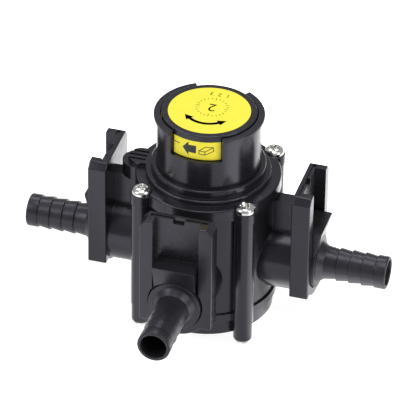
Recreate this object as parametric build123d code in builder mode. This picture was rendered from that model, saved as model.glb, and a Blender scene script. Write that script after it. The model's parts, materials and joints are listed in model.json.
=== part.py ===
from build123d import *
import os
from math import cos, radians, sin, sqrt

# Three-port changeover valve with push-in hose barbs, in millimetres.
# +Z is up, +X runs through the two side ports and the front port points to -Y.
# The origin is the centre of the bottom cover's flat face.

os.makedirs("parts", exist_ok=True)

# ---- overall ----
PORT_REACH = 76.2  # body axis to the mouth of each hose barb
PORT_Z = 27.7  # height of the three port axes
BODY_R = 28.0
SPLIT_Z = 7.2  # joint between the bottom cover and the body
BODY_TOP = 57.0  # joint between the body and the top cover
COVER_TOP = 62.4
RIM_TOP = 90.6  # top of the shroud
SCREW_OUT = 2.55  # screws' circle beyond the body's wall
FIT = 0.08  # radial clearance of a running fit
GAP = 0.3  # clearance between pieces that only pass each other
TOUCH = 0.02  # clearance under a clamped piece
OVERCUT = 1.0  # how far a cut runs past the face that it opens

# ---- ports, measured outwards from the body axis ----
PORTS = {"left": 180, "right": 0, "front": -90}
SOCKET_R = 9.6
STUB_WALL = 3.9
BOSS_WALL = 4.8
SOCKET_FLOOR = 16.5
WAY_R = 5.3  # waterway
PLATE_STANDOFF = 10.8  # between the body's wall and the plate
PLATE_DEPTH = 7.7
PLATE_TOP = 38.3  # above the port axis
PLATE_BOTTOM = -9.8
PLATE_CORNER = 2.5
BACK_T = 1.8  # plate behind the clip
LIP_T = 4.4
PLATE_ROUND = 0.8  # rounding of the plate's corners
CHANNEL_HALF = 11.6
CHANNEL_WALL = 3.4
LIP_GRIP = 2.1  # how far each lip covers the clip
CHANNEL_FLOOR = -8.6
KEYHOLE_PLAY = 0.5
WEB_T = 6.0
WEB_ROOT = 4.0  # how far the web runs into the body's wall
WEB_TOP = 28.0  # above the port axis

# ---- hose barb fitting ----
NECK_DEPTH = 1.7  # neck below the socket's bore
COLLAR_STEP = 1.3  # collar beyond the socket's bore
COLLAR_PROUD = 1.4  # collar beyond the plate's face
FLARE_R = 8.8
RIDGE_R = 6.95
ROOT_R = 6.2
TIP_R = 6.8
TIP_LAND = 4.7
RIDGE_PITCH = 5.27
RIDGES = 4
ORING_WIRE = 0.65  # radius of the cord of the fitting's seals
ORING_AT = (27.0, 33.0)
ORING_GROOVE = 1.6  # depth below the socket bore
GASKET_T = 2.2
MOUTH_EDGE = 0.4
NOSE_EDGE = 0.6

# ---- slide clip ----
CLIP_TOP = 37.8
CLIP_BOTTOM = -8.2
TAB_TOP = 18.6
TAB_FOOT = 5.2
TAB_PROUD = 3.4
TAB_INSET = 0.9
TAB_EDGE = 1.0
CLIP_PLAY = 0.1  # to each side of the channel
NOTCH_HALF = 2.3  # notch in the clip's top edge
NOTCH_DEPTH = 1.8

# ---- shells ----
EDGE = 0.5  # rounding of the moulded edges
COVER_EDGE = 0.75
LUG_EDGE = 0.35
FLANGE_STEP = 0.8
FLANGE_T = 3.4
COLUMN_R = 4.15
BOTTOM_STEP = 0.7
BOTTOM_FLOOR = 1.8
FOOT_R = 3.9
FOOT_DROP = 1.3  # the screw columns stand below the flat face
COVER_STEP = 1.6
LUG_R = 4.5
LUG_TOP = 61.7
RING_STEP = 2.2  # ledge of each of the cover's two rings
RING_LOW_TOP = 64.4
RING_HIGH_TOP = 67.7
VENT_R = 6.5
VENT_OUT = 1.5  # boss's centre beyond the body's wall
VENT_FOOT = 55.9
VENT_TOP = 62.2
VENT_STEP_TOP = 64.2
VENT_STEP = 1.2
VENT_SLOT = 1.1  # width of the vent's slots
VENT_PITCH = 2.7
VENT_SLOTS = 3

# ---- shroud and indicator ----
SHROUD_R = 21.1
SHROUD_WALL = 1.4
RIM_STEP = 1.3
RIM_T = 1.4
SHROUD_SEAT_STEP = 1.6
SHROUD_SEAT_T = 1.4
WINDOW_SPAN = 61.0  # degrees
WINDOW_SILL = 80.2
DRUM_TOP = 91.4
DRUM_FOOT = 70.5
DRUM_WALL = 1.8
LABEL_MARGIN = 2.6
LABEL_T = 0.3
STRIP_BOTTOM = 80.5
STRIP_TOP = 88.8
STRIP_T = 0.15
STRIP_SPAN = 60.0
PIN_R = 1.0  # pin that ties the drum to the shaft
PIN_Z = 75.0
HUB_R = 5.5
PRESS = 0.05  # radial clearance of a glued or pressed joint

# ---- screws ----
SCREW_R = 2.0
HEAD_R = 4.1
HEAD_H = 2.5
HEAD_EDGE = 1.5
SCREW_END = -3.3
INSERT_R = 2.95
INSERT_H = 5.2
INSERT_END = -2.5
INSERT_SLOT = 1.3  # width of the driving slots
CROSS_LONG = 4.4  # cross recess in the heads
CROSS_WIDE = 0.9
CROSS_DEEP = 1.5
CROSS_TAPER = 12  # degrees

# ---- selector ----
TURN = 90.0  # degrees between its two places
PLUG_BORE_R = 14.2
PLUG_FLOOR = 18.0
SHELF_Z = 44.0  # shoulder that carries the bearing plate
CHAMBER_WALL = 3.8
COVER_SEAL_IN = 2.0  # seal's centre line inside the body's wall
BEARING_T = 3.0
BEARING_RIM_T = 2.6
SHAFT_R = 3.5
SHAFT_FOOT = 38.0
SHAFT_EDGE = 0.4
SHAFT_DROP = 1.0  # shaft's top below the drum's roof
PLUG_SEAL_WIRE = 0.8
PLUG_SEAL_AT = (20.6, 40.0)
PLATE_SEAL_OUT = 2.5  # seal's centre line outside the plug's bore
PLATE_SEAL_WIRE = 0.75
SHAFT_SEAL_WIRE = 0.7
COVER_SEAL_WIRE = 0.7
CAM_LIFT = 1.0  # cam above the bearing plate
CAM_T = 3.0
CAM_R = 9.0
CAM_ARM = 4.0
POST_R = 1.5
POST_H = 5.0
STOP_AT = 12.0  # distance of the two stop posts from the axis
STOP_SPREAD = 127.0  # degrees between them
STOP_MIDDLE = -90.0
LEAF_AT = 10.6
LEAF_T = 0.5
LEAF_HALF = 8.0
LEAF_FACING = 45.0
NUB_R = 1.1

# ---- diaphragm ----
DIAPHRAGM_IN = 3.4  # diaphragm's edge inside the body's wall
DIAPHRAGM_T = 0.9
VACUUM_WALL = 6.5
VACUUM_TOP = 15.0
DISC_R = 14.0
DISC_T = 1.0
STEM_R = 2.5
STEM_FOOT = 3.6
STEM_TOP = 19.0
STEM_HEAD_R = 4.0
STROKE = 2.5
SPRING_R = 9.0
SPRING_WIRE = 0.45
SPRING_TURNS = 4

# ---- places worked out from the sizes above ----
SCREW_HALF = (BODY_R + SCREW_OUT) / sqrt(2)
FLANGE_R = BODY_R + FLANGE_STEP
BOTTOM_R = BODY_R - BOTTOM_STEP
COVER_R = BODY_R + COVER_STEP
CHAMBER_R = BODY_R - CHAMBER_WALL
COVER_SEAL_R = BODY_R - COVER_SEAL_IN
DIAPHRAGM_R = BODY_R - DIAPHRAGM_IN
VACUUM_R = BODY_R - VACUUM_WALL
VENT_AT = BODY_R + VENT_OUT
BEARING_RIM_R = CHAMBER_R - BEARING_RIM_T
PLATE_SEAL_R = PLUG_BORE_R + PLATE_SEAL_OUT
RING_HIGH_R = SHROUD_R + RING_STEP
RING_LOW_R = RING_HIGH_R + RING_STEP
RIM_R = SHROUD_R + RIM_STEP
SHROUD_SEAT_R = SHROUD_R + SHROUD_SEAT_STEP
PLATE_IN = BODY_R + PLATE_STANDOFF
PLATE_HALF = CHANNEL_HALF + CHANNEL_WALL
SLOT_HALF = CHANNEL_HALF - LIP_GRIP
TAB_HALF = SLOT_HALF - TAB_INSET
STUB_R = SOCKET_R + STUB_WALL
BOSS_R = SOCKET_R + BOSS_WALL
NECK_R = SOCKET_R - NECK_DEPTH
COLLAR_R = SOCKET_R + COLLAR_STEP
KEYHOLE_R = COLLAR_R + KEYHOLE_PLAY
PLATE_OUT = PLATE_IN + PLATE_DEPTH
CHANNEL_IN = PLATE_IN + BACK_T
CHANNEL_OUT = PLATE_OUT - LIP_T
COLLAR_OUT = PLATE_OUT + COLLAR_PROUD
TAB_REACH = PLATE_OUT + TAB_PROUD
SHROUD_BORE_R = SHROUD_R - SHROUD_WALL
DRUM_R = SHROUD_BORE_R - GAP - STRIP_T
LABEL_R = DRUM_R - LABEL_MARGIN
PLUG_R = PLUG_BORE_R - FIT
PLUG_TOP = SHELF_Z - GAP
BEARING_TOP = SHELF_Z + BEARING_T
CAM_FOOT = BEARING_TOP + CAM_LIFT
SHAFT_TOP = DRUM_TOP - DRUM_WALL - SHAFT_DROP
SEAT_TOP = COVER_TOP - SHROUD_SEAT_T  # underside of the top cover over the shroud's foot
DIAPHRAGM_FOOT = SPLIT_Z - DIAPHRAGM_T - TOUCH
WASHER_FOOT = SPLIT_Z + PRESS
DISC_FOOT = DIAPHRAGM_FOOT - PRESS - DISC_T
SPRING_FOOT = WASHER_FOOT + DISC_T + SPRING_WIRE + PRESS
SPRING_HEIGHT = VACUUM_TOP - SPRING_WIRE - PRESS - SPRING_FOOT
NOSE = SOCKET_FLOOR + GASKET_T
GROOVE_R = SOCKET_R - ORING_GROOVE
SHAFT_SEAL_R = SHAFT_R + GAP + SHAFT_SEAL_WIRE
PLUG_GROOVE_R = PLUG_R - 2 * PLUG_SEAL_WIRE - GAP
PLUG_SEAL_R = PLUG_R - PLUG_SEAL_WIRE - GAP / 2
SCREW_SPOTS = GridLocations(2 * SCREW_HALF, 2 * SCREW_HALF, 2, 2)


def level(z):
    """Horizontal plane at height z."""
    return Plane.XY.offset(z)


def outward(angle):
    """Unit direction of a port."""
    return Vector(cos(radians(angle)), sin(radians(angle)), 0)


def port_plane(angle, distance):
    """Plane across a port: local x is sideways, local y is up, its normal points out."""
    way = outward(angle)
    centre = way * distance + Vector(0, 0, PORT_Z)
    return Plane(origin=centre, x_dir=(-way.Y, way.X, 0), z_dir=way)


def port_section(angle):
    """Plane through a port's axis: local x runs out along the port, local y is up."""
    way = outward(angle)
    return Plane(origin=(0, 0, PORT_Z), x_dir=way, z_dir=(way.Y, -way.X, 0))


def port_axis(angle):
    way = outward(angle)
    return Axis((0, 0, PORT_Z), (way.X, way.Y, 0))


def sector(facing, span, reach):
    """Corners of a wedge from the axis, span degrees wide and centred on facing."""
    near, far = radians(facing - span / 2), radians(facing + span / 2)
    return (0, 0), (reach * cos(near), reach * sin(near)), (reach * cos(far), reach * sin(far))


def finish(builder, name):
    """Label a finished piece and write it."""
    builder.part.label = name
    export_step(builder.part, f"parts/{name}.step")


def ring_piece(name, centre_r, wire_r, heights):
    """One or more O-rings round the body axis, as separate solids in one node."""
    with BuildPart() as ring:
        for height in heights:
            with BuildSketch(Plane.XZ):
                with Locations((centre_r, height)):
                    Circle(wire_r)
            revolve(axis=Axis.Z)
    finish(ring, name)


# ---------------------------------------------------------------- body shell
with BuildPart() as valve_body:
    # upright plates that carry the clips, each with a round foot under its socket
    for angle in PORTS.values():
        with BuildSketch(port_plane(angle, PLATE_IN)):
            with BuildLine():
                Polyline(
                    (-PLATE_HALF, PLATE_BOTTOM),
                    (PLATE_HALF, PLATE_BOTTOM),
                    (PLATE_HALF, PLATE_TOP - PLATE_CORNER),
                    (PLATE_HALF - PLATE_CORNER, PLATE_TOP),
                    (PLATE_CORNER - PLATE_HALF, PLATE_TOP),
                    (-PLATE_HALF, PLATE_TOP - PLATE_CORNER),
                    close=True,
                )
            plate = make_face()
            fillet(plate.vertices(), PLATE_ROUND)
            Circle(BOSS_R)
        extrude(amount=PLATE_DEPTH)
        rims = valve_body.edges(Select.LAST).filter_by(Axis((0, 0, 0), outward(angle)), reverse=True)
        fillet(rims, EDGE)
    # drum, flange and screw columns
    with BuildSketch(level(SPLIT_Z)):
        Circle(BODY_R)
        with SCREW_SPOTS:
            Circle(COLUMN_R)
    extrude(amount=BODY_TOP - SPLIT_Z)
    with BuildSketch(level(SPLIT_Z)):
        Circle(FLANGE_R)
    extrude(amount=FLANGE_T)
    for angle in PORTS.values():
        # socket tube
        with BuildSketch(port_plane(angle, 0)):
            Circle(STUB_R)
        extrude(amount=PLATE_OUT - EDGE)
        # web that ties the plate to the body
        with BuildSketch(port_plane(angle, BODY_R - WEB_ROOT)):
            with Locations((0, WEB_TOP / 2)):
                Rectangle(WEB_T, WEB_TOP)
        extrude(amount=PLATE_IN - BODY_R + WEB_ROOT + EDGE)
    for angle in PORTS.values():
        # channel for the clip, open at the top
        with BuildSketch(port_plane(angle, CHANNEL_IN)):
            with Locations((0, CHANNEL_FLOOR)):
                Rectangle(2 * CHANNEL_HALF, 2 * PLATE_TOP, align=(Align.CENTER, Align.MIN))
        extrude(amount=CHANNEL_OUT - CHANNEL_IN, mode=Mode.SUBTRACT)
        # slot between the lips, ending in a keyhole round the fitting
        with BuildSketch(port_plane(angle, CHANNEL_OUT)):
            Rectangle(2 * SLOT_HALF, 2 * PLATE_TOP, align=(Align.CENTER, Align.MIN))
            Circle(KEYHOLE_R)
        extrude(amount=LIP_T + OVERCUT, mode=Mode.SUBTRACT)
        # socket bore and waterway
        with BuildSketch(port_plane(angle, SOCKET_FLOOR)):
            Circle(SOCKET_R)
        extrude(amount=CHANNEL_OUT - SOCKET_FLOOR, mode=Mode.SUBTRACT)
        with BuildSketch(port_plane(angle, 0)):
            Circle(WAY_R)
        extrude(amount=SOCKET_FLOOR + OVERCUT, mode=Mode.SUBTRACT)
    # bore of the selector plug
    with BuildSketch(level(PLUG_FLOOR)):
        Circle(PLUG_BORE_R)
    extrude(amount=BODY_TOP, mode=Mode.SUBTRACT)
    # drive chamber above the shoulder
    with BuildSketch(level(SHELF_Z)):
        Circle(CHAMBER_R)
    extrude(amount=BODY_TOP, mode=Mode.SUBTRACT)
    # groove for the bearing plate's seal
    with BuildSketch(level(SHELF_Z)):
        Circle(PLATE_SEAL_R + PLATE_SEAL_WIRE + GAP)
        Circle(PLATE_SEAL_R - PLATE_SEAL_WIRE - GAP, mode=Mode.SUBTRACT)
    extrude(amount=-2 * PLATE_SEAL_WIRE - 2 * PRESS, mode=Mode.SUBTRACT)
    # vacuum chamber over the diaphragm
    with BuildSketch(level(SPLIT_Z)):
        Circle(VACUUM_R)
    extrude(amount=VACUUM_TOP - SPLIT_Z, mode=Mode.SUBTRACT)
    # guide hole of the diaphragm's stem
    with BuildSketch(level(VACUUM_TOP - OVERCUT)):
        Circle(STEM_R + FIT)
    extrude(amount=PLUG_FLOOR - VACUUM_TOP + 2 * OVERCUT, mode=Mode.SUBTRACT)
    # groove for the top cover's seal
    with BuildSketch(level(BODY_TOP)):
        Circle(COVER_SEAL_R + COVER_SEAL_WIRE + GAP)
        Circle(COVER_SEAL_R - COVER_SEAL_WIRE - GAP, mode=Mode.SUBTRACT)
    extrude(amount=-2 * COVER_SEAL_WIRE - 2 * PRESS, mode=Mode.SUBTRACT)
    # screw holes
    with BuildSketch(level(SPLIT_Z)):
        with SCREW_SPOTS:
            Circle(SCREW_R + GAP)
    extrude(amount=BODY_TOP, mode=Mode.SUBTRACT)
finish(valve_body, "valve_body")

# ---------------------------------------------------------------- bottom cover
with BuildPart() as bottom_cover:
    with BuildSketch():
        Circle(BOTTOM_R)
    extrude(amount=SPLIT_Z)
    fillet(bottom_cover.faces().sort_by(Axis.Z)[0].edges(), COVER_EDGE)
    with BuildSketch(level(-FOOT_DROP)):
        with SCREW_SPOTS:
            Circle(FOOT_R)
    extrude(amount=SPLIT_Z + FOOT_DROP)
    fillet(bottom_cover.faces().sort_by(Axis.Z)[:4].edges(), COVER_EDGE)
    # air side of the diaphragm
    with BuildSketch(level(BOTTOM_FLOOR)):
        Circle(VACUUM_R)
    extrude(amount=SPLIT_Z, mode=Mode.SUBTRACT)
    # seat for the diaphragm's rim
    with BuildSketch(level(DIAPHRAGM_FOOT - TOUCH)):
        Circle(DIAPHRAGM_R + FIT)
    extrude(amount=SPLIT_Z, mode=Mode.SUBTRACT)
    with BuildSketch(level(-FOOT_DROP)):
        with SCREW_SPOTS:
            Circle(SCREW_R + GAP)
    extrude(amount=SPLIT_Z + FOOT_DROP, mode=Mode.SUBTRACT)
    # pockets for the threaded inserts
    with BuildSketch(level(-FOOT_DROP)):
        with SCREW_SPOTS:
            Circle(INSERT_R)
    extrude(amount=INSERT_END + INSERT_H + FOOT_DROP, mode=Mode.SUBTRACT)
finish(bottom_cover, "bottom_cover")

# ---------------------------------------------------------------- top cover
with BuildPart() as top_cover:
    with BuildSketch(level(BODY_TOP)):
        with SCREW_SPOTS:
            Circle(LUG_R)
    extrude(amount=LUG_TOP - BODY_TOP)
    fillet(top_cover.faces().filter_by(Plane.XY).group_by(Axis.Z)[-1].edges(), LUG_EDGE)
    with BuildSketch(level(BODY_TOP)):
        Circle(COVER_R)
    extrude(amount=COVER_TOP - BODY_TOP)
    fillet(top_cover.faces().sort_by(Axis.Z)[-1].edges(), COVER_EDGE)
    for radius, top in ((RING_LOW_R, RING_LOW_TOP), (RING_HIGH_R, RING_HIGH_TOP)):
        with BuildSketch(level(BODY_TOP)):
            Circle(radius)
        extrude(amount=top - BODY_TOP)
        fillet(top_cover.faces().sort_by(Axis.Z)[-1].edges(), COVER_EDGE)
    # half-round vent boss over the left port's web, in two steps
    for shrink, top in ((0, VENT_TOP), (VENT_STEP, VENT_STEP_TOP)):
        with BuildSketch(level(BODY_TOP)):
            with Locations((shrink - VENT_AT, 0)):
                Circle(VENT_R - shrink)
                Rectangle(VENT_AT - RING_HIGH_R, 2 * (VENT_R - shrink), align=(Align.MIN, Align.CENTER))
        extrude(amount=top - BODY_TOP)
    with BuildSketch(level(VENT_STEP_TOP)):
        with Locations((-VENT_AT, 0)):
            with GridLocations(0, VENT_PITCH, 1, VENT_SLOTS):
                SlotOverall(VENT_R + VENT_SLOT, VENT_SLOT)
    extrude(amount=VENT_TOP - VENT_STEP_TOP, mode=Mode.SUBTRACT)
    # the boss overhangs the body
    with BuildSketch(level(VENT_FOOT)):
        with Locations((-VENT_AT, 0)):
            Circle(VENT_R)
        Circle(BODY_R + GAP, mode=Mode.SUBTRACT)
    extrude(amount=BODY_TOP - VENT_FOOT)
    # flat seats under the screw heads
    with BuildSketch(level(LUG_TOP)):
        with SCREW_SPOTS:
            Circle(HEAD_R + GAP)
    extrude(amount=COVER_TOP - LUG_TOP, mode=Mode.SUBTRACT)
    # room for the shroud and the drive
    with BuildSketch(level(BODY_TOP)):
        Circle(SHROUD_R + FIT)
    extrude(amount=RING_HIGH_TOP - BODY_TOP, mode=Mode.SUBTRACT)
    with BuildSketch(level(BODY_TOP)):
        Circle(SHROUD_SEAT_R + FIT)
    extrude(amount=SEAT_TOP - BODY_TOP, mode=Mode.SUBTRACT)
    with BuildSketch(level(BODY_TOP)):
        with SCREW_SPOTS:
            Circle(SCREW_R + GAP)
    extrude(amount=COVER_TOP - BODY_TOP, mode=Mode.SUBTRACT)
finish(top_cover, "top_cover")

# ---------------------------------------------------------------- shroud with its window
with BuildPart() as indicator_shroud:
    with BuildSketch(level(BODY_TOP + TOUCH)):
        Circle(SHROUD_SEAT_R)
    extrude(amount=SEAT_TOP - BODY_TOP - 2 * TOUCH)
    with BuildSketch(level(BODY_TOP + TOUCH)):
        Circle(SHROUD_R)
    extrude(amount=RIM_TOP - BODY_TOP - TOUCH)
    with BuildSketch(level(RIM_TOP - RIM_T)):
        Circle(RIM_R)
    extrude(amount=RIM_T)
    fillet(indicator_shroud.faces().sort_by(Axis.Z)[-1].edges(), EDGE)
    with BuildSketch(level(BODY_TOP)):
        Circle(SHROUD_BORE_R)
    extrude(amount=RIM_TOP, mode=Mode.SUBTRACT)
    # the rim is cut away at the front and the back
    for facing in (PORTS["front"], PORTS["front"] + 180):
        with BuildSketch(level(RIM_TOP - RIM_T)):
            with BuildLine():
                Polyline(*sector(facing, WINDOW_SPAN, 2 * RIM_R), close=True)
            make_face()
        extrude(amount=RIM_T, mode=Mode.SUBTRACT)
    # window over the drum's arrow
    with BuildSketch(level(WINDOW_SILL)):
        with BuildLine():
            Polyline(*sector(PORTS["front"], WINDOW_SPAN, 2 * RIM_R), close=True)
        make_face()
    extrude(amount=RIM_TOP - WINDOW_SILL, mode=Mode.SUBTRACT)
finish(indicator_shroud, "indicator_shroud")

# ---------------------------------------------------------------- indicator drum and labels
with BuildPart() as indicator_drum:
    with BuildSketch(level(DRUM_FOOT)):
        Circle(DRUM_R)
    extrude(amount=DRUM_TOP - DRUM_FOOT)
    fillet(indicator_drum.faces().sort_by(Axis.Z)[-1].edges(), EDGE)
    with BuildSketch(level(DRUM_FOOT)):
        Circle(DRUM_R - DRUM_WALL)
        Circle(HUB_R, mode=Mode.SUBTRACT)
    extrude(amount=DRUM_TOP - DRUM_WALL - DRUM_FOOT, mode=Mode.SUBTRACT)
    with BuildSketch(level(DRUM_FOOT)):
        Circle(SHAFT_R + PRESS)
    extrude(amount=SHAFT_TOP + TOUCH - DRUM_FOOT, mode=Mode.SUBTRACT)
    # shallow seat for the top label
    with BuildSketch(level(DRUM_TOP - LABEL_T)):
        Circle(LABEL_R + PRESS)
    extrude(amount=LABEL_T, mode=Mode.SUBTRACT)
    with BuildSketch(Plane.XZ.offset(-HUB_R)):
        with Locations((0, PIN_Z)):
            Circle(PIN_R + PRESS)
    extrude(amount=2 * HUB_R, mode=Mode.SUBTRACT)
finish(indicator_drum, "indicator_drum")

with BuildPart() as top_label:
    with BuildSketch(level(DRUM_TOP - LABEL_T)):
        Circle(LABEL_R)
    extrude(amount=LABEL_T)
finish(top_label, "top_label")

with BuildPart() as window_labels:
    for facing in (PORTS["front"], PORTS["front"] - TURN):
        with BuildSketch(level(STRIP_BOTTOM)):
            with BuildLine():
                Polyline(*sector(facing, STRIP_SPAN, 2 * RIM_R), close=True)
            make_face()
            Circle(DRUM_R + STRIP_T, mode=Mode.INTERSECT)
            Circle(DRUM_R, mode=Mode.SUBTRACT)
        extrude(amount=STRIP_TOP - STRIP_BOTTOM)
finish(window_labels, "window_labels")

with BuildPart() as drum_pin:
    with BuildSketch(Plane.XZ.offset(GAP - HUB_R)):
        with Locations((0, PIN_Z)):
            Circle(PIN_R)
    extrude(amount=2 * (HUB_R - GAP))
finish(drum_pin, "drum_pin")

# ---------------------------------------------------------------- selector shaft and plug
with BuildPart() as drive_shaft:
    with BuildSketch(level(SHAFT_FOOT)):
        Circle(SHAFT_R)
    extrude(amount=SHAFT_TOP - SHAFT_FOOT)
    chamfer(drive_shaft.edges().filter_by(GeomType.CIRCLE), SHAFT_EDGE)
    with BuildSketch(Plane.XZ.offset(-HUB_R)):
        with Locations((0, PIN_Z)):
            Circle(PIN_R + PRESS)
    extrude(amount=2 * HUB_R, mode=Mode.SUBTRACT)
finish(drive_shaft, "drive_shaft")

with BuildPart() as selector_plug:
    with BuildSketch(level(PLUG_FLOOR + FIT)):
        Circle(PLUG_R)
    extrude(amount=PLUG_TOP - PLUG_FLOOR - FIT)
    for height in PLUG_SEAL_AT:
        with BuildSketch(level(height - PLUG_SEAL_WIRE - PRESS)):
            Circle(PLUG_R)
            Circle(PLUG_GROOVE_R, mode=Mode.SUBTRACT)
        extrude(amount=2 * PLUG_SEAL_WIRE + 2 * PRESS, mode=Mode.SUBTRACT)
    # elbow that joins the front port to one side port
    for angle in (PORTS["left"], PORTS["front"]):
        with BuildSketch(port_plane(angle, 0)):
            Circle(WAY_R)
        extrude(amount=PLUG_R + OVERCUT, mode=Mode.SUBTRACT)
    with Locations((0, 0, PORT_Z)):
        Sphere(WAY_R, mode=Mode.SUBTRACT)
    # seats for the shaft and for the end of the diaphragm's stem
    with BuildSketch(level(SHAFT_FOOT - TOUCH)):
        Circle(SHAFT_R + PRESS)
    extrude(amount=PLUG_TOP, mode=Mode.SUBTRACT)
    with BuildSketch(level(PLUG_FLOOR)):
        Circle(STEM_R + GAP)
    extrude(amount=STEM_TOP + STROKE + GAP - PLUG_FLOOR, mode=Mode.SUBTRACT)
finish(selector_plug, "selector_plug")
ring_piece("plug_seals", PLUG_SEAL_R, PLUG_SEAL_WIRE, PLUG_SEAL_AT)

# ---------------------------------------------------------------- bearing plate, cam and detent
leaf_posts = [(LEAF_AT + LEAF_T + POST_R, side * (LEAF_HALF - POST_R)) for side in (-1, 1)]

with BuildPart() as bearing_plate:
    with BuildSketch(level(SHELF_Z)):
        Circle(CHAMBER_R - FIT)
    extrude(amount=BODY_TOP - SHELF_Z)
    with BuildSketch(level(BEARING_TOP)):
        Circle(BEARING_RIM_R)
    extrude(amount=BODY_TOP - BEARING_TOP, mode=Mode.SUBTRACT)
    with BuildSketch(level(BEARING_TOP)):
        with PolarLocations(STOP_AT, 2, STOP_MIDDLE - STOP_SPREAD / 2, 2 * STOP_SPREAD):
            Circle(POST_R)
    extrude(amount=POST_H)
    with BuildSketch(Plane(level(BEARING_TOP).origin, x_dir=outward(LEAF_FACING), z_dir=(0, 0, 1))):
        with Locations(*leaf_posts):
            Circle(POST_R)
    extrude(amount=POST_H)
    with BuildSketch(level(SHELF_Z)):
        Circle(SHAFT_R + FIT)
    extrude(amount=BEARING_T, mode=Mode.SUBTRACT)
    with BuildSketch(level(BEARING_TOP)):
        Circle(SHAFT_SEAL_R + SHAFT_SEAL_WIRE + PRESS)
    extrude(amount=-2 * SHAFT_SEAL_WIRE - 2 * PRESS, mode=Mode.SUBTRACT)
finish(bearing_plate, "bearing_plate")
ring_piece("bearing_plate_seal", PLATE_SEAL_R, PLATE_SEAL_WIRE, (SHELF_Z - PLATE_SEAL_WIRE - PRESS,))
ring_piece("shaft_seal", SHAFT_SEAL_R, SHAFT_SEAL_WIRE, (BEARING_TOP - SHAFT_SEAL_WIRE - PRESS,))
ring_piece("cover_seal", COVER_SEAL_R, COVER_SEAL_WIRE, (BODY_TOP - COVER_SEAL_WIRE - PRESS,))

with BuildPart() as detent_cam:
    with BuildSketch(level(CAM_FOOT)):
        Circle(CAM_R)
        # arm that meets a stop post at each end of the turn
        with PolarLocations(STOP_AT / 2, 1, STOP_MIDDLE - TURN / 2):
            Rectangle(STOP_AT, CAM_ARM)
        with PolarLocations(CAM_R + NUB_R / 2, 2, LEAF_FACING - TURN, 2 * TURN):
            Circle(NUB_R + FIT, mode=Mode.SUBTRACT)
        Circle(SHAFT_R + PRESS, mode=Mode.SUBTRACT)
    extrude(amount=CAM_T)
finish(detent_cam, "detent_cam")

with BuildPart() as detent_leaf:
    with BuildSketch(Plane(level(CAM_FOOT).origin, x_dir=outward(LEAF_FACING), z_dir=(0, 0, 1))):
        with Locations((LEAF_AT + LEAF_T / 2, 0)):
            Rectangle(LEAF_T, 2 * LEAF_HALF)
        with Locations((CAM_R + GAP + NUB_R, 0)):
            Circle(NUB_R)
            Rectangle(NUB_R, 2 * NUB_R, align=(Align.MIN, Align.CENTER))
    extrude(amount=CAM_T)
finish(detent_leaf, "detent_leaf")

# ---------------------------------------------------------------- diaphragm and its spring
with BuildPart() as diaphragm:
    with BuildSketch(level(DIAPHRAGM_FOOT)):
        Circle(DIAPHRAGM_R)
        Circle(STEM_R + PRESS, mode=Mode.SUBTRACT)
    extrude(amount=DIAPHRAGM_T)
finish(diaphragm, "diaphragm")

for disc_name, foot in (("diaphragm_disc", DISC_FOOT), ("diaphragm_washer", WASHER_FOOT)):
    with BuildPart() as disc:
        with BuildSketch(level(foot)):
            Circle(DISC_R)
            Circle(STEM_R + PRESS, mode=Mode.SUBTRACT)
        extrude(amount=DISC_T)
        fillet(disc.edges().filter_by(GeomType.CIRCLE).group_by(SortBy.RADIUS)[-1], DISC_T / 4)
    finish(disc, disc_name)

with BuildPart() as diaphragm_stem:
    with BuildSketch(level(STEM_FOOT)):
        Circle(STEM_HEAD_R)
    extrude(amount=DISC_FOOT - PRESS - STEM_FOOT)
    with BuildSketch(level(STEM_FOOT)):
        Circle(STEM_R)
    extrude(amount=STEM_TOP - STEM_FOOT)
    chamfer(diaphragm_stem.faces().sort_by(Axis.Z)[-1].edges(), SHAFT_EDGE)
finish(diaphragm_stem, "diaphragm_stem")

with BuildPart() as return_spring:
    with BuildLine() as coil:
        Helix(SPRING_HEIGHT / SPRING_TURNS, SPRING_HEIGHT, SPRING_R, center=(0, 0, SPRING_FOOT))
    with BuildSketch(Plane(origin=coil.line @ 0, z_dir=coil.line % 0)):
        Circle(SPRING_WIRE)
    sweep(is_frenet=True)
finish(return_spring, "return_spring")

# ---------------------------------------------------------------- screws and inserts
with BuildPart() as cover_screws:
    with BuildSketch(level(SCREW_END)):
        with SCREW_SPOTS:
            Circle(SCREW_R)
    extrude(amount=LUG_TOP - SCREW_END)
    chamfer(cover_screws.faces().sort_by(Axis.Z)[:4].edges(), SCREW_R / 4)
    with BuildSketch(level(LUG_TOP)):
        with SCREW_SPOTS:
            Circle(HEAD_R)
    extrude(amount=HEAD_H)
    fillet(cover_screws.faces().sort_by(Axis.Z)[-4:].edges(), HEAD_EDGE)
    # cross recess
    with BuildSketch(level(LUG_TOP + HEAD_H)):
        with SCREW_SPOTS:
            Rectangle(CROSS_LONG, CROSS_WIDE)
            Rectangle(CROSS_WIDE, CROSS_LONG)
    extrude(amount=-CROSS_DEEP, taper=CROSS_TAPER, mode=Mode.SUBTRACT)
finish(cover_screws, "cover_screws")

with BuildPart() as screw_inserts:
    with BuildSketch(level(INSERT_END)):
        with SCREW_SPOTS:
            Circle(INSERT_R - PRESS)
            Circle(SCREW_R + PRESS, mode=Mode.SUBTRACT)
    extrude(amount=INSERT_H)
    # driving slots in the exposed end
    with BuildSketch(level(INSERT_END)):
        with SCREW_SPOTS:
            Rectangle(2 * INSERT_R, INSERT_SLOT)
            Rectangle(INSERT_SLOT, 2 * INSERT_R)
    extrude(amount=INSERT_SLOT / 2, mode=Mode.SUBTRACT)
finish(screw_inserts, "screw_inserts")


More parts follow.
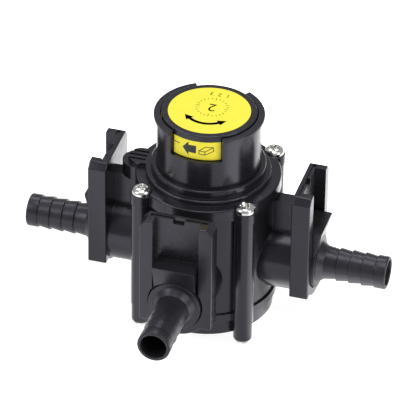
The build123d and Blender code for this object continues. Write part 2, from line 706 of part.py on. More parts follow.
# ---------------------------------------------------------------- one set of pieces for each port
def barb_outline():
    """Points of a fitting's outside, from its nose to its mouth, as distance and radius."""
    points = [
        (NOSE, SOCKET_R - FIT - NOSE_EDGE),
        (NOSE + NOSE_EDGE, SOCKET_R - FIT),
        (CHANNEL_IN - GAP, SOCKET_R - FIT),
        (CHANNEL_IN - GAP, NECK_R),
        (CHANNEL_OUT + GAP, NECK_R),
        (CHANNEL_OUT + GAP, COLLAR_R),
        (COLLAR_OUT - MOUTH_EDGE, COLLAR_R),
        (COLLAR_OUT, COLLAR_R - MOUTH_EDGE),
        (COLLAR_OUT, FLARE_R),
    ]
    first_ridge = PORT_REACH - TIP_LAND - RIDGES * RIDGE_PITCH
    for k in range(RIDGES):
        points.append((first_ridge + k * RIDGE_PITCH, RIDGE_R))
        points.append((first_ridge + (k + 1) * RIDGE_PITCH, ROOT_R))
    points.append((PORT_REACH - TIP_LAND, TIP_R))
    points.append((PORT_REACH - MOUTH_EDGE, TIP_R))
    points.append((PORT_REACH, TIP_R - MOUTH_EDGE))
    return points


for side, angle in PORTS.items():
    with BuildPart() as fitting:
        with BuildSketch(port_section(angle)):
            with BuildLine():
                Polyline((NOSE, WAY_R), *barb_outline(), (PORT_REACH, WAY_R), close=True)
            make_face()
            for at in ORING_AT:
                with Locations((at, SOCKET_R)):
                    Rectangle(2 * ORING_WIRE + GAP, 2 * ORING_GROOVE, mode=Mode.SUBTRACT)
        revolve(axis=port_axis(angle))
    finish(fitting, f"{side}_barb_fitting")

    with BuildPart() as fitting_seals:
        with BuildSketch(port_section(angle)):
            with Locations(*[(at, GROOVE_R + ORING_WIRE + TOUCH) for at in ORING_AT]):
                Circle(ORING_WIRE)
        revolve(axis=port_axis(angle))
    finish(fitting_seals, f"{side}_fitting_seals")

    with BuildPart() as gasket:
        with BuildSketch(port_plane(angle, SOCKET_FLOOR + PRESS)):
            Circle(SOCKET_R - GAP)
            Circle(WAY_R + GAP, mode=Mode.SUBTRACT)
        extrude(amount=GASKET_T - 2 * PRESS)
    finish(gasket, f"{side}_port_gasket")

    with BuildPart() as clip:
        # plate in the channel, with a notch in its top edge
        with BuildSketch(port_plane(angle, CHANNEL_IN + CLIP_PLAY)):
            with Locations((0, CLIP_BOTTOM)):
                Rectangle(
                    2 * (CHANNEL_HALF - GAP),
                    CLIP_TOP - CLIP_BOTTOM,
                    align=(Align.CENTER, Align.MIN),
                )
            with Locations((0, CLIP_TOP)):
                Rectangle(2 * NOTCH_HALF, 2 * NOTCH_DEPTH, mode=Mode.SUBTRACT)
        extrude(amount=CHANNEL_OUT - CHANNEL_IN - 2 * CLIP_PLAY)
        # wedge tab for the finger
        with BuildSketch(port_section(angle)):
            with BuildLine():
                Polyline(
                    (CHANNEL_IN + 2 * CLIP_PLAY, TAB_TOP),
                    (TAB_REACH, TAB_TOP),
                    (TAB_REACH, TAB_TOP - TAB_EDGE),
                    (PLATE_OUT, TAB_FOOT),
                    (CHANNEL_IN + 2 * CLIP_PLAY, TAB_FOOT),
                    close=True,
                )
            make_face()
        extrude(amount=TAB_HALF, both=True)
        # fork round the neck, and room for the collar
        with BuildSketch(port_plane(angle, CHANNEL_IN)):
            Circle(NECK_R + GAP)
            Rectangle(2 * (NECK_R + GAP), 2 * SOCKET_R, align=(Align.CENTER, Align.MAX))
        extrude(amount=CHANNEL_OUT - CHANNEL_IN, mode=Mode.SUBTRACT)
        with BuildSketch(port_plane(angle, CHANNEL_OUT - CLIP_PLAY)):
            Circle(COLLAR_R + GAP)
        extrude(amount=TAB_REACH, mode=Mode.SUBTRACT)
    finish(clip, f"{side}_slide_clip")
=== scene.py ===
"""Looks of the three-port changeover valve: finishes, moulded barbs, printed labels and a soft studio.

All lengths are in metres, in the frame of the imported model, unless a name says otherwise.
"""
import json
import math

import bmesh
import bpy
from mathutils import Matrix, Vector


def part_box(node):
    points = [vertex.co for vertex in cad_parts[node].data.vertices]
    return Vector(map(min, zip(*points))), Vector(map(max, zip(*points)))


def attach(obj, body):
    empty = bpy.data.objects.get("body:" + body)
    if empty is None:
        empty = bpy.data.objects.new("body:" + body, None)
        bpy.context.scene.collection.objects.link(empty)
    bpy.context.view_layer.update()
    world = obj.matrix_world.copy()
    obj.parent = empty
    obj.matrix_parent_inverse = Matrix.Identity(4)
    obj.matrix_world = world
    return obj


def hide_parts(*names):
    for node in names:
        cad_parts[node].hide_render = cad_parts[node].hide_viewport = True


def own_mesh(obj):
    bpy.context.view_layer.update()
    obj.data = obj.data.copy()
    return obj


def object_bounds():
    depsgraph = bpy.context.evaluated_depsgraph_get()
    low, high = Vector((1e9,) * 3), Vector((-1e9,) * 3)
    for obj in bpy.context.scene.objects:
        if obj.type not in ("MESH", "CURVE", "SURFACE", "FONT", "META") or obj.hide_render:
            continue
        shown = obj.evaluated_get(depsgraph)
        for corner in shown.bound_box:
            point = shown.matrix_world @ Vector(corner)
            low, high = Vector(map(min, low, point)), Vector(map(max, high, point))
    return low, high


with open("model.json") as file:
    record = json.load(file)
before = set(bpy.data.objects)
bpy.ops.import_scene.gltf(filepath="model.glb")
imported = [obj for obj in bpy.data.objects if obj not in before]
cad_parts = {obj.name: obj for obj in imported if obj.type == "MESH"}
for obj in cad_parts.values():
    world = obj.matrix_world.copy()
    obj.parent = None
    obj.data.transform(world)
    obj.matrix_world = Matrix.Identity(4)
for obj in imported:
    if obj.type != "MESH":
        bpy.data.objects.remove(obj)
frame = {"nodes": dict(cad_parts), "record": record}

CAD_BOX = [list(corner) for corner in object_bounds()]
NODES = frame["nodes"]
MM = 0.001
SIDES = {"left": Vector((-1, 0, 0)), "right": Vector((1, 0, 0)), "front": Vector((0, -1, 0))}

# ---- colours, in linear light ----
BLACK_MOULD = (0.0110, 0.0103, 0.0125, 1)
BLACK_FITTING = (0.0130, 0.0125, 0.0142, 1)
BLACK_CLIP = (0.0125, 0.0118, 0.0138, 1)
PLASTIC_SHEEN = (0.86, 0.85, 1.0, 1)
BLACK_RUBBER = (0.010, 0.010, 0.010, 1)
LABEL_YELLOW = (0.95, 0.83, 0.050, 1)
INK = (0.012, 0.012, 0.010, 1)
ZINC = (0.80, 0.79, 0.76, 1)
STEEL = (0.62, 0.61, 0.58, 1)
ACETAL = (0.72, 0.71, 0.66, 1)
FLOOR_GREY = (0.12, 0.12, 0.12, 1)
FLOOR_LIGHT = (1, 1, 1, 1)
SKY = (0.40, 0.40, 0.42, 1)

# ---- finishing of meshes ----
SMOOTH_ANGLE = math.radians(32)  # sharper edges stay sharp
WELD = 0.002 * MM
EDGE_SAMPLES = 4
MIX_FACTOR, MIX_FIRST, MIX_SECOND, MIX_RESULT = 0, 6, 7, 2  # a Mix node's sockets for colours

# ---- camera ----
AZIMUTH = math.radians(15.81)
ELEVATION = math.radians(34.83)
ROLL = math.radians(0.88)
DISTANCE = 1.6495
LENS_MM = 350.13
SENSOR_MM = 36
SHIFT_RIGHT = -0.00019
SHIFT_UP = 0.0135
AIM = Vector((0, 0, 0.0277))

# ---- floor and lights ----
FLOOR_REACH = 1.6
FLOOR_GLOW = 0.94
FLOOR_BACK = 2.2  # glow straight behind
BACK_SPREAD = (0.2, 0.95)  # cosines between which the glow behind rises
FLOOR_PATCHES = ((-22, 0.45), (70, 1.2))  # compass degrees and added glow
PATCH_SPREAD = (0.9, 0.985)
SOFTBOXES = (  # name, place, size, power in watts
    ("key_left", (-0.9, -0.7, 1.0), (0.6, 0.6), 6.0),
    ("key_right", (1.0, -0.3, 0.9), (0.5, 0.8), 5.0),
    ("top", (0.0, -0.1, 1.4), (0.6, 0.6), 5.0),
    ("back", (-0.35, 0.75, 1.2), (0.9, 0.25), 4.0),
)

# ---- hose barb fitting: distance from the valve's axis and radius of each corner, with its rounding ----
WAY_R = 5.3 * MM
BARB_CORNERS = (
    (18.7, 8.92, 0.0),
    (19.3, 9.52, 0.1),
    (40.3, 9.52, 0.1),
    (40.3, 7.9, 0.0),
    (42.4, 7.9, 0.0),
    (42.4, 10.9, 0.15),
    (47.9, 10.9, 0.35),
    (47.9, 8.8, 0.25),
)
BARB_SHOWN = BARB_CORNERS[5][0] * MM  # the collar, from where the fitting shows
RIDGES = 4
RIDGE_R = 6.95 * MM
ROOT_R = 6.2 * MM
TIP_R = 6.8 * MM
TIP_LAND = 4.7 * MM
RIDGE_PITCH = 5.27 * MM
CREST_ROUND = 0.14 * MM
FIRST_PROUD = CREST_ROUND / 4  # how much taller the first ridge is
ROOT_ROUND = 0.22 * MM
MOUTH_ROUND = 0.7 * MM
BORE_ROUND = 0.5 * MM
MOULD_LINE = 0.03 * MM  # height of the parting line
TURNS = 144  # steps round a lathed piece

# ---- cover screws ----
HEAD_R = 4.1 * MM
HEAD_H = 2.5 * MM
HEAD_POWER = 2.7  # squareness of the dome
SHANK_R = 2.0 * MM
SHANK_POINT = 0.5 * MM
CROSS_LONG = 2.3 * MM  # half length and half width of the cross recess
CROSS_WIDE = 0.55 * MM
CROSS_DEEP = 1.5 * MM
CROSS_RIM = 1.25  # where the recess's side walls start, in half widths
CROSS_WALL = 0.5  # width of those walls, in half widths
CROSS_END = 0.7  # length of the sloping ends, in half lengths
CROSS_STEEP = 1.6  # how much sooner the ends reach full depth
CROSS_TURNS = (20, 63, 38, 5)  # degrees, one for each screw
DOME_RINGS = 40

# ---- diaphragm's return spring ----
SPRING_WIRE = 0.45 * MM  # radius of the wire
SPRING_TURNS = 4
SPRING_STEPS = 240
WIRE_SIDES = 14

# ---- print on the labels ----
INK_T = 0.024 * MM
WRAP_STEP = 0.5 * MM  # width of the strips that bend round the drum
DIAL_AT = (0.4 * MM, 2.6 * MM)
DIAL_R = 6.6 * MM
DIAL_TICKS = 24
TICKS_A_QUARTER = 6  # one long tick in each
TICK_LONG = 0.2  # lengths as shares of the dial's radius
TICK_SHORT = 0.1
TICK_W = 0.28 * MM
NUMERAL_H = 7.5 * MM
ROW_AT = (0.9 * MM, 12.2 * MM)
ROW_H = 3.2 * MM
FRONT = -90  # degrees from +X
SWEEP_R = 9.6 * MM  # the double-ended arrow
SWEEP_HALF = 38  # degrees to each side of the front
SWEEP_T = 1.5 * MM
SWEEP_HEAD = 3.6 * MM
SWEEP_STEPS = 24
STRIPS = (("front_strip_print", FRONT, 1), ("left_strip_print", 180, -1))  # name, degrees from +X, mirroring
STRIP_LIFT = 0.35 * MM  # of the signs, from the strip's middle
DASH = ((-9.8, 1), (-7.4, 1))  # the signs' points are in millimetres
DASH_W = 0.42 * MM
ARROW = ((-5.7, 0), (-3.0, -3.2), (-3.0, -1.7), (0.2, -1.8), (0.2, 1.8), (-3.0, 1.7), (-3.0, 3.2))
CARTON = {"a": (1.4, -1.8), "b": (3.8, -2.1), "c": (7.3, -0.2), "d": (7.1, 1.5), "e": (4.1, 1.8),
          "f": (1.4, -0.3), "g": (3.8, -0.6)}
CARTON_EDGES = ("ab", "bc", "cd", "de", "ef", "fa", "fg", "gb", "gd")
CARTON_W = 0.32 * MM


# ---------------------------------------------------------------- materials
class Surface:
    """One material, with short calls that add its shader nodes."""

    def __init__(self, name):
        self.material = bpy.data.materials.new(name)
        self.material.use_nodes = True
        self.tree = self.material.node_tree
        self.shader = self.tree.nodes["Principled BSDF"]
        self.place = self.tree.nodes.new("ShaderNodeTexCoord").outputs["Object"]

    def link(self, source, target):
        self.tree.links.new(source, target)

    def noise(self, scale, detail=3.0, rough=0.5, stretch=(1, 1, 1)):
        """Noise of 0 to 1, with scale features in a metre, stretched along the axes."""
        mapping = self.tree.nodes.new("ShaderNodeMapping")
        mapping.inputs["Scale"].default_value = stretch
        self.link(self.place, mapping.inputs["Vector"])
        node = self.tree.nodes.new("ShaderNodeTexNoise")
        node.inputs["Scale"].default_value = scale
        node.inputs["Detail"].default_value = detail
        node.inputs["Roughness"].default_value = rough
        self.link(mapping.outputs["Vector"], node.inputs["Vector"])
        return node.outputs["Fac"]

    def remap(self, source, low, high, start=0.3, end=0.7, interpolation="LINEAR"):
        """Source between start and end becomes low to high."""
        node = self.tree.nodes.new("ShaderNodeMapRange")
        node.interpolation_type = interpolation
        for key, value in (("From Min", start), ("From Max", end), ("To Min", low), ("To Max", high)):
            node.inputs[key].default_value = value
        self.link(source, node.inputs["Value"])
        return node.outputs["Result"]

    def blend(self, factor, first, second):
        """Mix of two colours."""
        node = self.tree.nodes.new("ShaderNodeMix")
        node.data_type = "RGBA"
        for socket, value in ((MIX_FIRST, first), (MIX_SECOND, second)):
            node.inputs[socket].default_value = value
        self.link(factor, node.inputs[MIX_FACTOR])
        return node.outputs[MIX_RESULT]

    def add(self, first, second):
        node = self.tree.nodes.new("ShaderNodeMath")
        self.link(first, node.inputs[0])
        self.link(second, node.inputs[1])
        return node.outputs[0]

    def towards(self, direction):
        """Cosine between a direction and the way from the middle of the scene to the shaded point."""
        unit = self.tree.nodes.new("ShaderNodeVectorMath")
        unit.operation = "NORMALIZE"
        self.link(self.place, unit.inputs[0])
        dot = self.tree.nodes.new("ShaderNodeVectorMath")
        dot.operation = "DOT_PRODUCT"
        dot.inputs[1].default_value = direction
        self.link(unit.outputs[0], dot.inputs[0])
        return dot.outputs["Value"]

    def colour(self, source):
        self.link(source, self.shader.inputs["Base Color"])

    def roughness(self, source):
        self.link(source, self.shader.inputs["Roughness"])

    def bump(self, heights, depth, edge=0.0):
        """Relief of the given depth, over edges that catch the light as if rounded by edge."""
        node = self.tree.nodes.new("ShaderNodeBump")
        node.inputs["Distance"].default_value = depth
        self.link(heights, node.inputs["Height"])
        if edge:
            rounding = self.tree.nodes.new("ShaderNodeBevel")
            rounding.samples = EDGE_SAMPLES
            rounding.inputs["Radius"].default_value = edge
            self.link(rounding.outputs["Normal"], node.inputs["Normal"])
        self.link(node.outputs["Normal"], self.shader.inputs["Normal"])

    def set(self, **values):
        for key, value in values.items():
            self.shader.inputs[key.replace("_", " ")].default_value = value
        return self


def scaled(colour, factor):
    return tuple(min(1, c * factor) for c in colour[:3]) + (1,)


def moulded(name, colour, rough_low, rough_high, grain):
    """Injection-moulded plastic: cloudy colour, uneven gloss, fine scuffs and a light orange peel."""
    made = Surface(name)
    made.colour(made.blend(made.remap(made.noise(70, 4), 0, 1), colour, scaled(colour, 1.4)))
    made.roughness(made.remap(made.noise(420, 4, 0.65), rough_low, rough_high))
    made.bump(made.noise(1100, 3, 0.55), grain, edge=0.3 * MM)
    return made.set(IOR=1.5, Specular_Tint=PLASTIC_SHEEN).material


def rubber(name, colour):
    made = Surface(name)
    made.colour(made.blend(made.remap(made.noise(300, 3), 0, 1), colour, scaled(colour, 1.8)))
    made.roughness(made.remap(made.noise(900, 3), 0.62, 0.8))
    made.bump(made.noise(2500, 3), 0.02 * MM)
    return made.material


def metal(name, colour, rough_low, rough_high, stretch, depth):
    """Plated or turned metal with fine tool marks and a few dull patches."""
    made = Surface(name)
    made.colour(made.blend(made.remap(made.noise(500, 3), 0, 1), colour, scaled(colour, 0.82)))
    made.roughness(made.remap(made.noise(900, 4, 0.6, stretch), rough_low, rough_high))
    made.bump(made.noise(2200, 3, 0.6, stretch), depth, edge=0.15 * MM)
    return made.set(Metallic=1.0).material


def film(name, colour):
    """Printed film under clear varnish."""
    made = Surface(name)
    made.colour(made.blend(made.remap(made.noise(260, 4), 0, 1), colour, scaled(colour, 0.94)))
    made.roughness(made.remap(made.noise(800, 3), 0.35, 0.5))
    made.bump(made.noise(900, 2), 0.008 * MM)
    return made.set(IOR=1.4).material


def ink(name, colour):
    made = Surface(name)
    made.colour(made.blend(made.remap(made.noise(1500, 3), 0, 1), colour, scaled(colour, 2.2)))
    made.roughness(made.remap(made.noise(2000, 2), 0.4, 0.55))
    return made.material


def acetal(name, colour):
    made = Surface(name)
    made.colour(made.blend(made.remap(made.noise(150, 3), 0, 1), colour, scaled(colour, 0.93)))
    made.roughness(made.remap(made.noise(700, 3), 0.38, 0.5))
    made.bump(made.noise(1500, 2), 0.02 * MM)
    return made.set(Subsurface_Weight=0.05, Subsurface_Radius=(0.001, 0.001, 0.0008)).material


MATERIALS = {
    "moulded_black": moulded("moulded_black", BLACK_MOULD, 0.17, 0.27, 0.010 * MM),
    "fitting_black": moulded("fitting_black", BLACK_FITTING, 0.28, 0.40, 0.014 * MM),
    "clip_black": moulded("clip_black", BLACK_CLIP, 0.22, 0.34, 0.012 * MM),
    "seal_rubber": rubber("seal_rubber", BLACK_RUBBER),
    "diaphragm_rubber": rubber("diaphragm_rubber", BLACK_RUBBER),
    "label_yellow": film("label_yellow", LABEL_YELLOW),
    "screw_zinc": metal("screw_zinc", ZINC, 0.12, 0.24, (1, 1, 1), 0.006 * MM),
    "insert_steel": metal("insert_steel", STEEL, 0.3, 0.45, (1, 1, 4), 0.01 * MM),
    "steel": metal("steel", STEEL, 0.22, 0.34, (1, 1, 6), 0.006 * MM),
    "inner_plastic": acetal("inner_plastic", ACETAL),
    "ink": ink("ink", INK),
}


# ---------------------------------------------------------------- finishing of meshes
def smooth_by_angle_group():
    """Geometry nodes that shade smooth everywhere but across edges sharper than the angle."""
    group = bpy.data.node_groups.new("smooth_by_angle", "GeometryNodeTree")
    group.interface.new_socket("Geometry", in_out="INPUT", socket_type="NodeSocketGeometry")
    angle = group.interface.new_socket("Angle", in_out="INPUT", socket_type="NodeSocketFloat")
    angle.default_value = SMOOTH_ANGLE
    group.interface.new_socket("Geometry", in_out="OUTPUT", socket_type="NodeSocketGeometry")
    start = group.nodes.new("NodeGroupInput")
    end = group.nodes.new("NodeGroupOutput")
    edge_angle = group.nodes.new("GeometryNodeInputMeshEdgeAngle")
    gentle = group.nodes.new("FunctionNodeCompare")
    gentle.operation = "LESS_THAN"
    faces = group.nodes.new("GeometryNodeSetShadeSmooth")
    edges = group.nodes.new("GeometryNodeSetShadeSmooth")
    edges.domain = "EDGE"
    link = group.links.new
    link(edge_angle.outputs["Unsigned Angle"], gentle.inputs[0])
    link(start.outputs["Angle"], gentle.inputs[1])
    link(start.outputs["Geometry"], faces.inputs["Geometry"])
    link(faces.outputs["Geometry"], edges.inputs["Geometry"])
    link(gentle.outputs["Result"], edges.inputs["Shade Smooth"])
    link(edges.outputs["Geometry"], end.inputs["Geometry"])
    return group


SMOOTH = smooth_by_angle_group()


def smooth(obj):
    shade = obj.modifiers.new("smooth", "NODES")
    shade.node_group = SMOOTH


def clear_custom_normals(obj):
    """Imported normals are dropped, so that the modifiers' own normals show."""
    if obj.data.has_custom_normals:
        with bpy.context.temp_override(object=obj, active_object=obj, selected_objects=[obj]):
            bpy.context.view_layer.objects.active = obj
            bpy.ops.mesh.customdata_custom_splitnormals_clear()


def dress_frame():
    """Every CAD node takes its record slot's material, with its seams welded and its curves smooth."""
    slots = {part["node"]: part["material_slot"] for part in frame["record"]["subparts"]}
    for name, node in NODES.items():
        node.data.materials.clear()
        node.data.materials.append(MATERIALS[slots[name]])
        clear_custom_normals(node)
        weld = node.modifiers.new("weld", "WELD")
        weld.merge_threshold = WELD
        smooth(node)


def new_piece(name, mesh, material, body):
    obj = bpy.data.objects.new(name, mesh)
    bpy.context.scene.collection.objects.link(obj)
    mesh.materials.append(MATERIALS[material])
    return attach(obj, body)


def smooth_piece(name, bm, material, body):
    """Smooth closed piece from a bmesh, which is freed."""
    bmesh.ops.recalc_face_normals(bm, faces=bm.faces)
    mesh = bpy.data.meshes.new(name)
    bm.to_mesh(mesh)
    bm.free()
    piece = new_piece(name, mesh, material, body)
    smooth(piece)
    return piece


# ---------------------------------------------------------------- lathed pieces
def rounded(corners, steps=5):
    """Points of a line through (x, y, rounding) corners, with an arc of that radius at each."""
    points = [Vector(corners[0][:2])]
    for before, corner, after in zip(corners, corners[1:], corners[2:]):
        here = Vector(corner[:2])
        back = (Vector(before[:2]) - here).normalized()
        on = (Vector(after[:2]) - here).normalized()
        half = back.angle(on) / 2
        run = corner[2] / math.tan(half)
        if not run:
            points.append(here)
            continue
        centre = here + (back + on).normalized() * (corner[2] / math.sin(half))
        first, last = here + back * run - centre, here + on * run - centre
        turn = first.angle_signed(last)
        for k in range(steps + 1):
            points.append(centre + Matrix.Rotation(-turn * k / steps, 2) @ first)
    points.append(Vector(corners[-1][:2]))
    return points


def lathe(name, outline, axis_z, way, material, body):
    """Closed outline of (distance, radius) points turned about the axis that runs out along way."""
    bm = bmesh.new()
    side = way.cross(Vector((0, 0, 1)))
    rings = []
    for k in range(TURNS):
        angle = 2 * math.pi * k / TURNS
        lift = MOULD_LINE if k % (TURNS // 2) == 0 else 0
        reach = side * math.cos(angle) + Vector((0, 0, 1)) * math.sin(angle)
        ring = []
        for distance, radius in outline:
            # the mould line shows on the outside only
            proud = lift if radius > WAY_R + MOUTH_ROUND and distance > BARB_SHOWN else 0
            ring.append(bm.verts.new(way * distance + reach * (radius + proud) + Vector((0, 0, axis_z))))
        rings.append(ring)
    for ring, after in zip(rings, rings[1:] + rings[:1]):
        for k in range(len(ring)):
            n = (k + 1) % len(ring)
            bm.faces.new((ring[k], ring[n], after[n], after[k]))
    return smooth_piece(name, bm, material, body)


def barb_outline(mouth):
    """Outside and bore of a fitting, with rounded crests and roots."""
    corners = [(distance * MM, radius * MM, rounding * MM) for distance, radius, rounding in BARB_CORNERS]
    first_ridge = mouth - TIP_LAND - RIDGES * RIDGE_PITCH
    for k in range(RIDGES):
        crest = RIDGE_R if k else RIDGE_R + FIRST_PROUD
        corners.append((first_ridge + k * RIDGE_PITCH, crest, CREST_ROUND))
        corners.append((first_ridge + (k + 1) * RIDGE_PITCH, ROOT_R, ROOT_ROUND))
    corners.append((mouth - TIP_LAND, TIP_R, CREST_ROUND))
    corners.append((mouth, TIP_R, MOUTH_ROUND))
    corners.append((mouth, WAY_R, BORE_ROUND))
    corners.append((corners[0][0], WAY_R, 0))
    return rounded(corners)


def barb_fittings():
    """The three hose barbs, in place of the plain CAD ones."""
    for side, way in SIDES.items():
        node = f"{side}_barb_fitting"
        low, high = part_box(node)
        mouth = max(abs(v) for v in (low[0], low[1], high[0], high[1]))
        axis_z = (low[2] + high[2]) / 2
        piece = lathe(f"{side}_barb", barb_outline(mouth), axis_z, way, "fitting_black", f"{side}_fitting")
        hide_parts(node)


def recess(x, y):
    """Depth of the cross recess at a point of the head."""
    short, long = sorted((abs(x), abs(y)))
    across = min(1, max(0, (CROSS_WIDE * CROSS_RIM - short) / (CROSS_WIDE * CROSS_WALL)))
    along = min(1, max(0, (CROSS_LONG - long) / (CROSS_LONG * CROSS_END)))
    return CROSS_DEEP * across * min(1, CROSS_STEEP * along)


def screw_rings(seat, tip):
    """Radius and height of each ring of a screw, from the middle of its head to its tip."""
    rings = []
    for k in range(1, DOME_RINGS + 1):
        share = math.sin(math.pi / 2 * k / DOME_RINGS)
        rings.append((HEAD_R * share, seat + HEAD_H * (1 - share ** HEAD_POWER) ** (1 / HEAD_POWER)))
    rings += [(SHANK_R, seat), (SHANK_R, tip + SHANK_POINT), (SHANK_R - SHANK_POINT, tip)]
    return rings


def cover_screws():
    """The four cross-head screws, in place of the plain CAD ones, each turned its own way."""
    low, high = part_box("cover_screws")
    seat = high[2] - HEAD_H
    bm = bmesh.new()
    columns, rows = ((low[k] + HEAD_R, high[k] - HEAD_R) for k in range(2))
    spots = [(x, y) for x in columns for y in rows]
    for (x, y), turn in zip(spots, CROSS_TURNS):
        here = Vector((x, y, 0))
        before = None
        for radius, height in screw_rings(seat, low[2]):
            ring = []
            for k in range(TURNS):
                angle = 2 * math.pi * k / TURNS
                cut = recess(radius * math.cos(angle), radius * math.sin(angle)) if height > seat else 0
                angle += math.radians(turn)
                point = Vector((radius * math.cos(angle), radius * math.sin(angle), height - cut))
                ring.append(bm.verts.new(here + point))
            if before:
                for k in range(TURNS):
                    n = (k + 1) % TURNS
                    bm.faces.new((before[k], ring[k], ring[n], before[n]))
            else:
                bm.faces.new(ring)
            before = ring
        bm.faces.new(reversed(before))
    piece = smooth_piece("cross_head_screws", bm, "screw_zinc", "housing")
    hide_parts("cover_screws")


def return_spring():
    """Coil in place of the CAD one."""
    low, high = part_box("return_spring")
    radius = high[0] - SPRING_WIRE
    foot, top = low[2] + SPRING_WIRE, high[2] - SPRING_WIRE
    bm = bmesh.new()
    rings = []
    for k in range(SPRING_STEPS + 1):
        share = k / SPRING_STEPS
        angle = 2 * math.pi * SPRING_TURNS * share
        out = Vector((math.cos(angle), math.sin(angle), 0))
        centre = out * radius + Vector((0, 0, foot + (top - foot) * share))
        ring = []
        for m in range(WIRE_SIDES):
            around = 2 * math.pi * m / WIRE_SIDES
            offset = out * math.cos(around) + Vector((0, 0, math.sin(around)))
            ring.append(bm.verts.new(centre + offset * SPRING_WIRE))
        rings.append(ring)
    for ring, after in zip(rings, rings[1:]):
        for m in range(WIRE_SIDES):
            n = (m + 1) % WIRE_SIDES
            bm.faces.new((ring[m], ring[n], after[n], after[m]))
    bm.faces.new(reversed(rings[0]))
    bm.faces.new(rings[-1])
    piece = smooth_piece("coil_spring", bm, "steel", "housing")
    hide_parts("return_spring")
    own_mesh(piece)


# ---------------------------------------------------------------- print
def arc(centre, radius, start, end, steps):
    """Points on an arc, with its angles in degrees."""
    angles = [math.radians(start + (end - start) * k / steps) for k in range(steps + 1)]
    return [(centre[0] + radius * math.cos(a), centre[1] + radius * math.sin(a)) for a in angles]


def stroke(start, end, width):
    """Outline of a straight line of the given width, with its ends run on by half the width."""
    start, end = Vector(start), Vector(end)
    along = (end - start).normalized() * width / 2
    across = Vector((-along.y, along.x))
    return [start - along - across, end + along - across, end + along + across, start - along + across]


def printed(name, outlines, place, body="indicator"):
    """Thin ink with the given flat outlines, laid on a surface by place(x, y)."""
    bm = bmesh.new()
    for outline in outlines:
        bm.faces.new([bm.verts.new((x, y, 0)) for x, y in outline])
    xs = [vert.co.x for vert in bm.verts]
    for k in range(math.ceil(min(xs) / WRAP_STEP), math.floor(max(xs) / WRAP_STEP) + 1):
        everything = bm.verts[:] + bm.edges[:] + bm.faces[:]
        bmesh.ops.bisect_plane(bm, geom=everything, plane_co=(k * WRAP_STEP, 0, 0), plane_no=(1, 0, 0))
    bmesh.ops.triangulate(bm, faces=bm.faces)
    for vert in bm.verts:
        vert.co = place(vert.co.x, vert.co.y)
    mesh = bpy.data.meshes.new(name)
    bm.to_mesh(mesh)
    bm.free()
    piece = new_piece(name, mesh, "ink", body)
    thick = piece.modifiers.new("thickness", "SOLIDIFY")
    thick.thickness = INK_T
    thick.offset = 0
    return piece


def numeral(text, height, centre):
    """Outlines of plain numerals about a centre, turned to be read from the drum's back."""
    curve = bpy.data.curves.new("numeral", "FONT")
    curve.body = text
    curve.size = height
    curve.align_x = "CENTER"
    curve.align_y = "CENTER"
    shape = bpy.data.objects.new("numeral", curve)
    mesh = bpy.data.meshes.new_from_object(shape)
    outlines = []
    for face in mesh.polygons:
        points = [mesh.vertices[v].co for v in face.vertices]
        outlines.append([(centre[0] - point.x, centre[1] - point.y) for point in points])
    bpy.data.objects.remove(shape)
    bpy.data.meshes.remove(mesh)
    return outlines


def top_label_print():
    """Plain dial and a double-ended arrow, which show that the drum turns between two places."""
    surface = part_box("top_label")[1][2] - INK_T / 2

    def flat(x, y):
        return Vector((x, y, surface))

    ticks = []
    for k in range(DIAL_TICKS):
        turn = math.radians(360 * k / DIAL_TICKS)
        way = Vector((math.cos(turn), math.sin(turn)))
        length = DIAL_R * (TICK_LONG if k % TICKS_A_QUARTER == 0 else TICK_SHORT)
        at = Vector(DIAL_AT)
        ticks.append(stroke(at + way * (DIAL_R - length), at + way * DIAL_R, TICK_W))
    printed("dial_print", ticks, flat)
    printed("dial_numeral", numeral("2", NUMERAL_H, DIAL_AT), flat)
    printed("row_numerals", numeral("1  2  3", ROW_H, ROW_AT), flat)

    inner, outer = SWEEP_R - SWEEP_T / 2, SWEEP_R + SWEEP_T / 2
    low, high = (arc((0, 0), radius, FRONT - SWEEP_HALF, FRONT + SWEEP_HALF, SWEEP_STEPS)
                 for radius in (inner, outer))
    band = [[low[k], high[k], high[k + 1], low[k + 1]] for k in range(SWEEP_STEPS)]
    for end in (-1, 1):
        angle = math.radians(FRONT + end * SWEEP_HALF)
        out = Vector((math.cos(angle), math.sin(angle)))
        on = Vector((-out.y, out.x)) * end
        root = out * SWEEP_R
        band.append([root - out * SWEEP_HEAD / 2, root + on * SWEEP_HEAD, root + out * SWEEP_HEAD / 2])
    printed("sweep_print", band, flat)


def window_print():
    """Arrow, short mark and carton outline on each strip, mirrored from one to the other."""
    low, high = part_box("window_labels")
    radius = -low[1]
    middle = (low[2] + high[2]) / 2 + STRIP_LIFT
    arrow, dash = ([(x * MM, y * MM) for x, y in points] for points in (ARROW, DASH))
    marks = [arrow, stroke(dash[0], dash[1], DASH_W)]
    for edge in CARTON_EDGES:
        start, end = (Vector(CARTON[key]) * MM for key in edge)
        marks.append(stroke(start, end, CARTON_W))
    for name, facing, mirror in STRIPS:
        def wrapped(x, y):
            angle = math.radians(facing) + mirror * x / radius
            return Vector((radius * math.cos(angle), radius * math.sin(angle), middle + y))

        printed(name, marks, wrapped)


dress_frame()
barb_fittings()
cover_screws()
return_spring()
top_label_print()
window_print()


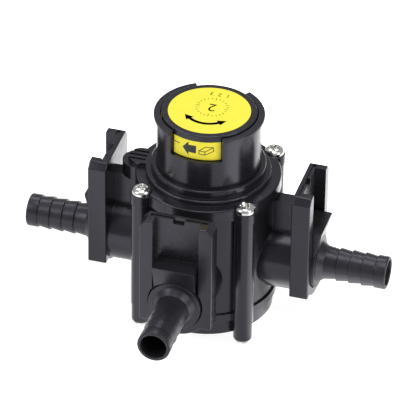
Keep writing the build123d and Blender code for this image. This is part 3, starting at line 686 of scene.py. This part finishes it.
# ---------------------------------------------------------------- studio
def camera():
    sin_a, cos_a = math.sin(AZIMUTH), math.cos(AZIMUTH)
    sin_e, cos_e = math.sin(ELEVATION), math.cos(ELEVATION)
    back = Vector((sin_a * cos_e, -cos_a * cos_e, sin_e))
    right = Vector((cos_a, sin_a, 0))
    up = back.cross(right)
    rolled_right = right * math.cos(ROLL) + up * math.sin(ROLL)
    rolled_up = up * math.cos(ROLL) - right * math.sin(ROLL)
    place = back * DISTANCE + right * SHIFT_RIGHT + up * SHIFT_UP + AIM
    data = bpy.data.cameras.new("camera")
    data.lens = LENS_MM
    data.sensor_width = SENSOR_MM
    obj = bpy.data.objects.new("camera", data)
    turn = Matrix((rolled_right, rolled_up, back)).transposed().to_4x4()
    obj.matrix_world = Matrix.Translation(place) @ turn
    bpy.context.scene.collection.objects.link(obj)
    bpy.context.scene.camera = obj


def softbox(name, place, size, power):
    data = bpy.data.lights.new(name, "AREA")
    data.shape = "RECTANGLE"
    data.size, data.size_y = size
    data.energy = power
    obj = bpy.data.objects.new(name, data)
    place = Vector(place)
    turn = (AIM - place).to_track_quat("-Z", "Y").to_matrix().to_4x4()
    obj.matrix_world = Matrix.Translation(place) @ turn
    bpy.context.scene.collection.objects.link(obj)


def compass(degrees):
    """Level unit vector, in degrees from -Y towards +X."""
    return Vector((math.sin(math.radians(degrees)), -math.cos(math.radians(degrees)), 0))


def floor():
    """Pale table that glows softly, brighter behind, to the right and to the front left."""
    reach = FLOOR_REACH
    level = CAD_BOX[0][2]
    mesh = bpy.data.meshes.new("floor")
    square = ((-reach, -reach), (reach, -reach), (reach, reach), (-reach, reach))
    mesh.from_pydata([(x, y, level) for x, y in square], [], [(0, 1, 2, 3)])
    obj = bpy.data.objects.new("floor", mesh)
    bpy.context.scene.collection.objects.link(obj)
    made = Surface("floor_white").set(Roughness=0.8, Base_Color=FLOOR_GREY, Emission_Color=FLOOR_LIGHT)
    glow = made.remap(made.towards(compass(180)), FLOOR_GLOW, FLOOR_BACK, *BACK_SPREAD, "SMOOTHSTEP")
    for degrees, gain in FLOOR_PATCHES:
        patch = made.remap(made.towards(compass(degrees)), 0, gain, *PATCH_SPREAD, "SMOOTHSTEP")
        glow = made.add(glow, patch)
    made.link(glow, made.shader.inputs["Emission Strength"])
    mesh.materials.append(made.material)


def sky():
    world = bpy.data.worlds.new("studio")
    bpy.context.scene.world = world
    world.use_nodes = True
    world.node_tree.nodes["Background"].inputs["Color"].default_value = SKY


bpy.context.scene.view_settings.view_transform = "Standard"
floor()
sky()
for box in SOFTBOXES:
    softbox(*box)
camera()
